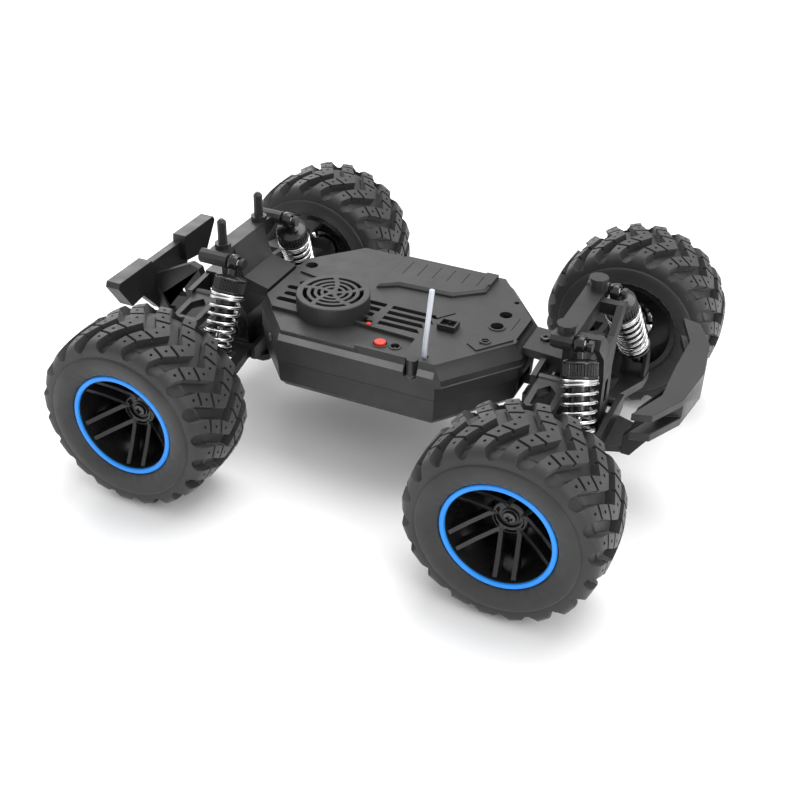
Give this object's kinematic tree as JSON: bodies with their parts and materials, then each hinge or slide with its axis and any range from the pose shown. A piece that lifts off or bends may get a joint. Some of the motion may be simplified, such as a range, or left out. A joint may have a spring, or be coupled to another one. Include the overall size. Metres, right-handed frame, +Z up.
{
  "type": "rc monster truck",
  "caption": "Rolling chassis of a small four-wheel-drive toy truck: lidded electronics box, sprung arms, steering front wheels, lugged tyres on deep rims, bumper and tail bar.",
  "frame": {"origin": "on the ground, under the middle of the bounding box, midway between the axles", "axes": "+X forward to the bumper, +Y to the left wheels, +Z up"},
  "size_m": [0.323, 0.2582, 0.1211],
  "materials": {
    "satin": "satin moulded plastic",
    "dark": "matt moulded plastic",
    "rim": "dark glossy plastic",
    "ring": "bright blue plastic",
    "tyre": "soft moulded rubber",
    "spring": "bright plated wire",
    "shaft": "turned steel",
    "motor": "pressed steel can",
    "button": "red glossy plastic",
    "antenna": "translucent white tube",
    "battery": "shrink wrap"
  },
  "bodies": {
    "root": {"chassis_tub": "satin", "top_cover": "satin", "charge_socket": "dark", "antenna_tube": "antenna", "battery_pack": "battery", "drive_motor": "motor", "steering_servo": "dark", "front_gearbox": "dark", "rear_gearbox": "dark", "front_tower": "satin", "rear_tower": "satin", "front_bumper": "satin", "rear_bumper": "satin"},
    "fan": {"cooling_fan": "dark"},
    "button": {"power_button": "button"},
    "steering_link": {"steering_link": "dark"},
    "lower_arm_fl": {"lower_arm_fl": "satin"},
    "upper_arm_fl": {"upper_arm_fl": "satin"},
    "c_hub_fl": {"c_hub_fl": "dark"},
    "half_shaft_fl": {"half_shaft_fl": "shaft"},
    "wheel_fl": {"rim_fl": "rim", "rim_ring_fl": "ring", "tyre_fl": "tyre"},
    "shock_body_fl": {"shock_body_fl": "satin", "shock_spring_fl": "spring"},
    "shock_rod_fl": {"shock_rod_fl": "dark"},
    "knuckle_fl": {"knuckle_fl": "satin"},
    "tie_rod_fl": {"tie_rod_fl": "dark"},
    "lower_arm_fr": {"lower_arm_fr": "satin"},
    "upper_arm_fr": {"upper_arm_fr": "satin"},
    "c_hub_fr": {"c_hub_fr": "dark"},
    "half_shaft_fr": {"half_shaft_fr": "shaft"},
    "wheel_fr": {"rim_fr": "rim", "rim_ring_fr": "ring", "tyre_fr": "tyre"},
    "shock_body_fr": {"shock_body_fr": "satin", "shock_spring_fr": "spring"},
    "shock_rod_fr": {"shock_rod_fr": "dark"},
    "knuckle_fr": {"knuckle_fr": "satin"},
    "tie_rod_fr": {"tie_rod_fr": "dark"},
    "lower_arm_rl": {"lower_arm_rl": "satin"},
    "upper_arm_rl": {"upper_arm_rl": "satin"},
    "carrier_rl": {"carrier_rl": "dark"},
    "half_shaft_rl": {"half_shaft_rl": "shaft"},
    "wheel_rl": {"rim_rl": "rim", "rim_ring_rl": "ring", "tyre_rl": "tyre"},
    "shock_body_rl": {"shock_body_rl": "satin", "shock_spring_rl": "spring"},
    "shock_rod_rl": {"shock_rod_rl": "dark"},
    "lower_arm_rr": {"lower_arm_rr": "satin"},
    "upper_arm_rr": {"upper_arm_rr": "satin"},
    "carrier_rr": {"carrier_rr": "dark"},
    "half_shaft_rr": {"half_shaft_rr": "shaft"},
    "wheel_rr": {"rim_rr": "rim", "rim_ring_rr": "ring", "tyre_rr": "tyre"},
    "shock_body_rr": {"shock_body_rr": "satin", "shock_spring_rr": "spring"},
    "shock_rod_rr": {"shock_rod_rr": "dark"}
  },
  "joints": [
    {"name": "fan_spin", "type": "hinge", "parent": "root", "child": "fan", "pos_m": [-0.0355, -0.0195, 0.0824], "axis": [0, 0, 1], "continuous": true},
    {"name": "button_press", "type": "slide", "parent": "root", "child": "button", "axis": [0, 0, -1], "range_m": [0, 0.0012], "stiffness_N_per_m": 400},
    {"name": "steer_link", "type": "hinge", "parent": "root", "child": "steering_link", "pos_m": [0.0566, 0, 0.0544], "axis": [0, 0, 1], "range_deg": [-15, 15]},
    {"name": "arm_fl", "type": "hinge", "parent": "root", "child": "lower_arm_fl", "pos_m": [0.1015, 0.0185, 0.041], "axis": [1, 0, 0], "range_deg": [-4, 12], "stiffness_Nm_per_rad": 1.6, "springref_deg": -6.08},
    {"name": "link_fl", "type": "hinge", "parent": "root", "child": "upper_arm_fl", "pos_m": [0.1015, 0.024, 0.072], "axis": [1, 0, 0], "range_deg": [-4.6, 13.7]},
    {"name": "hub_tilt_fl", "type": "hinge", "parent": "lower_arm_fl", "child": "c_hub_fl", "pos_m": [0.1015, 0.082, 0.036], "axis": [1, 0, 0], "range_deg": [-12.1, 4.1]},
    {"name": "steer_fl", "type": "hinge", "parent": "c_hub_fl", "child": "knuckle_fl", "pos_m": [0.1015, 0.084, 0.05], "axis": [0, 0, 1], "range_deg": [-22, 22]},
    {"name": "tie_fl", "type": "slide", "parent": "lower_arm_fl", "child": "tie_rod_fl", "axis": [0, 1, 0], "range_m": [-0.0059, 0.0059]},
    {"name": "wheel_spin_fl", "type": "hinge", "parent": "knuckle_fl", "child": "wheel_fl", "pos_m": [0.1015, 0.1041, 0.05], "axis": [0, 1, 0], "continuous": true},
    {"name": "shaft_spin_fl", "type": "hinge", "parent": "lower_arm_fl", "child": "half_shaft_fl", "pos_m": [0.1015, 0.084, 0.05], "axis": [0, 1, 0], "continuous": true},
    {"name": "shock_swing_fl", "type": "hinge", "parent": "root", "child": "shock_body_fl", "pos_m": [0.1054, 0.0298, 0.101], "axis": [1, 0, 0], "range_deg": [-0.4, 1.1]},
    {"name": "shock_slide_fl", "type": "slide", "parent": "shock_body_fl", "child": "shock_rod_fl", "axis": [-0.1889, -0.4491, 0.8733], "range_m": [-0.0028, 0.008], "deforming": ["shock_spring_fl"]},
    {"name": "arm_fr", "type": "hinge", "parent": "root", "child": "lower_arm_fr", "pos_m": [0.1015, -0.0185, 0.041], "axis": [-1, 0, 0], "range_deg": [-4, 12], "stiffness_Nm_per_rad": 1.6, "springref_deg": -6.08},
    {"name": "link_fr", "type": "hinge", "parent": "root", "child": "upper_arm_fr", "pos_m": [0.1015, -0.024, 0.072], "axis": [-1, 0, 0], "range_deg": [-4.6, 13.7]},
    {"name": "hub_tilt_fr", "type": "hinge", "parent": "lower_arm_fr", "child": "c_hub_fr", "pos_m": [0.1015, -0.082, 0.036], "axis": [-1, 0, 0], "range_deg": [-12.1, 4.1]},
    {"name": "steer_fr", "type": "hinge", "parent": "c_hub_fr", "child": "knuckle_fr", "pos_m": [0.1015, -0.084, 0.05], "axis": [0, 0, 1], "range_deg": [-22, 22]},
    {"name": "tie_fr", "type": "slide", "parent": "lower_arm_fr", "child": "tie_rod_fr", "axis": [0, 1, 0], "range_m": [-0.0059, 0.0059]},
    {"name": "wheel_spin_fr", "type": "hinge", "parent": "knuckle_fr", "child": "wheel_fr", "pos_m": [0.1015, -0.1041, 0.05], "axis": [0, 1, 0], "continuous": true},
    {"name": "shaft_spin_fr", "type": "hinge", "parent": "lower_arm_fr", "child": "half_shaft_fr", "pos_m": [0.1015, -0.084, 0.05], "axis": [0, 1, 0], "continuous": true},
    {"name": "shock_swing_fr", "type": "hinge", "parent": "root", "child": "shock_body_fr", "pos_m": [0.1054, -0.0298, 0.101], "axis": [-1, 0, 0], "range_deg": [-0.4, 1.1]},
    {"name": "shock_slide_fr", "type": "slide", "parent": "shock_body_fr", "child": "shock_rod_fr", "axis": [-0.1889, 0.4491, 0.8733], "range_m": [-0.0028, 0.008], "deforming": ["shock_spring_fr"]},
    {"name": "arm_rl", "type": "hinge", "parent": "root", "child": "lower_arm_rl", "pos_m": [-0.1015, 0.0185, 0.041], "axis": [1, 0, 0], "range_deg": [-4, 12], "stiffness_Nm_per_rad": 1.6, "springref_deg": -6.08},
    {"name": "link_rl", "type": "hinge", "parent": "root", "child": "upper_arm_rl", "pos_m": [-0.1015, 0.024, 0.072], "axis": [1, 0, 0], "range_deg": [-4.6, 13.7]},
    {"name": "hub_tilt_rl", "type": "hinge", "parent": "lower_arm_rl", "child": "carrier_rl", "pos_m": [-0.1015, 0.082, 0.036], "axis": [1, 0, 0], "range_deg": [-12.1, 4.1]},
    {"name": "wheel_spin_rl", "type": "hinge", "parent": "carrier_rl", "child": "wheel_rl", "pos_m": [-0.1015, 0.1041, 0.05], "axis": [0, 1, 0], "continuous": true},
    {"name": "shaft_spin_rl", "type": "hinge", "parent": "lower_arm_rl", "child": "half_shaft_rl", "pos_m": [-0.1015, 0.084, 0.05], "axis": [0, 1, 0], "continuous": true},
    {"name": "shock_swing_rl", "type": "hinge", "parent": "root", "child": "shock_body_rl", "pos_m": [-0.0893, 0.0298, 0.101], "axis": [1, 0, 0], "range_deg": [-0.4, 1.1]},
    {"name": "shock_slide_rl", "type": "slide", "parent": "shock_body_rl", "child": "shock_rod_rl", "axis": [0.0483, -0.433, 0.9001], "range_m": [-0.0028, 0.008], "deforming": ["shock_spring_rl"]},
    {"name": "arm_rr", "type": "hinge", "parent": "root", "child": "lower_arm_rr", "pos_m": [-0.1015, -0.0185, 0.041], "axis": [-1, 0, 0], "range_deg": [-4, 12], "stiffness_Nm_per_rad": 1.6, "springref_deg": -6.08},
    {"name": "link_rr", "type": "hinge", "parent": "root", "child": "upper_arm_rr", "pos_m": [-0.1015, -0.024, 0.072], "axis": [-1, 0, 0], "range_deg": [-4.6, 13.7]},
    {"name": "hub_tilt_rr", "type": "hinge", "parent": "lower_arm_rr", "child": "carrier_rr", "pos_m": [-0.1015, -0.082, 0.036], "axis": [-1, 0, 0], "range_deg": [-12.1, 4.1]},
    {"name": "wheel_spin_rr", "type": "hinge", "parent": "carrier_rr", "child": "wheel_rr", "pos_m": [-0.1015, -0.1041, 0.05], "axis": [0, 1, 0], "continuous": true},
    {"name": "shaft_spin_rr", "type": "hinge", "parent": "lower_arm_rr", "child": "half_shaft_rr", "pos_m": [-0.1015, -0.084, 0.05], "axis": [0, 1, 0], "continuous": true},
    {"name": "shock_swing_rr", "type": "hinge", "parent": "root", "child": "shock_body_rr", "pos_m": [-0.0893, -0.0298, 0.101], "axis": [-1, 0, 0], "range_deg": [-0.4, 1.1]},
    {"name": "shock_slide_rr", "type": "slide", "parent": "shock_body_rr", "child": "shock_rod_rr", "axis": [0.0483, 0.433, 0.9001], "range_m": [-0.0028, 0.008], "deforming": ["shock_spring_rr"]}
  ],
  "couplings": [
    {"joint": "steer_link", "follows": "steer_fl", "ratio": -0.655},
    {"joint": "link_fl", "follows": "arm_fl", "ratio": 1.1319},
    {"joint": "hub_tilt_fl", "follows": "arm_fl", "ratio": -1},
    {"joint": "tie_fl", "follows": "steer_fl", "m_per_rad": -0.0148},
    {"joint": "shaft_spin_fl", "follows": "wheel_spin_fl", "ratio": 1},
    {"joint": "shock_swing_fl", "follows": "arm_fl", "ratio": 0.0805},
    {"joint": "shock_slide_fl", "follows": "arm_fl", "m_per_rad": 0.037068},
    {"joint": "link_fr", "follows": "arm_fr", "ratio": 1.1319},
    {"joint": "hub_tilt_fr", "follows": "arm_fr", "ratio": -1},
    {"joint": "steer_fr", "follows": "steer_fl", "ratio": 1},
    {"joint": "tie_fr", "follows": "steer_fl", "m_per_rad": -0.0148},
    {"joint": "shaft_spin_fr", "follows": "wheel_spin_fr", "ratio": 1},
    {"joint": "shock_swing_fr", "follows": "arm_fr", "ratio": 0.0805},
    {"joint": "shock_slide_fr", "follows": "arm_fr", "m_per_rad": 0.037068},
    {"joint": "link_rl", "follows": "arm_rl", "ratio": 1.1319},
    {"joint": "hub_tilt_rl", "follows": "arm_rl", "ratio": -1},
    {"joint": "shaft_spin_rl", "follows": "wheel_spin_rl", "ratio": 1},
    {"joint": "shock_swing_rl", "follows": "arm_rl", "ratio": 0.0759},
    {"joint": "shock_slide_rl", "follows": "arm_rl", "m_per_rad": 0.036474},
    {"joint": "link_rr", "follows": "arm_rr", "ratio": 1.1319},
    {"joint": "hub_tilt_rr", "follows": "arm_rr", "ratio": -1},
    {"joint": "shaft_spin_rr", "follows": "wheel_spin_rr", "ratio": 1},
    {"joint": "shock_swing_rr", "follows": "arm_rr", "ratio": 0.0759},
    {"joint": "shock_slide_rr", "follows": "arm_rr", "m_per_rad": 0.036474}
  ]
}
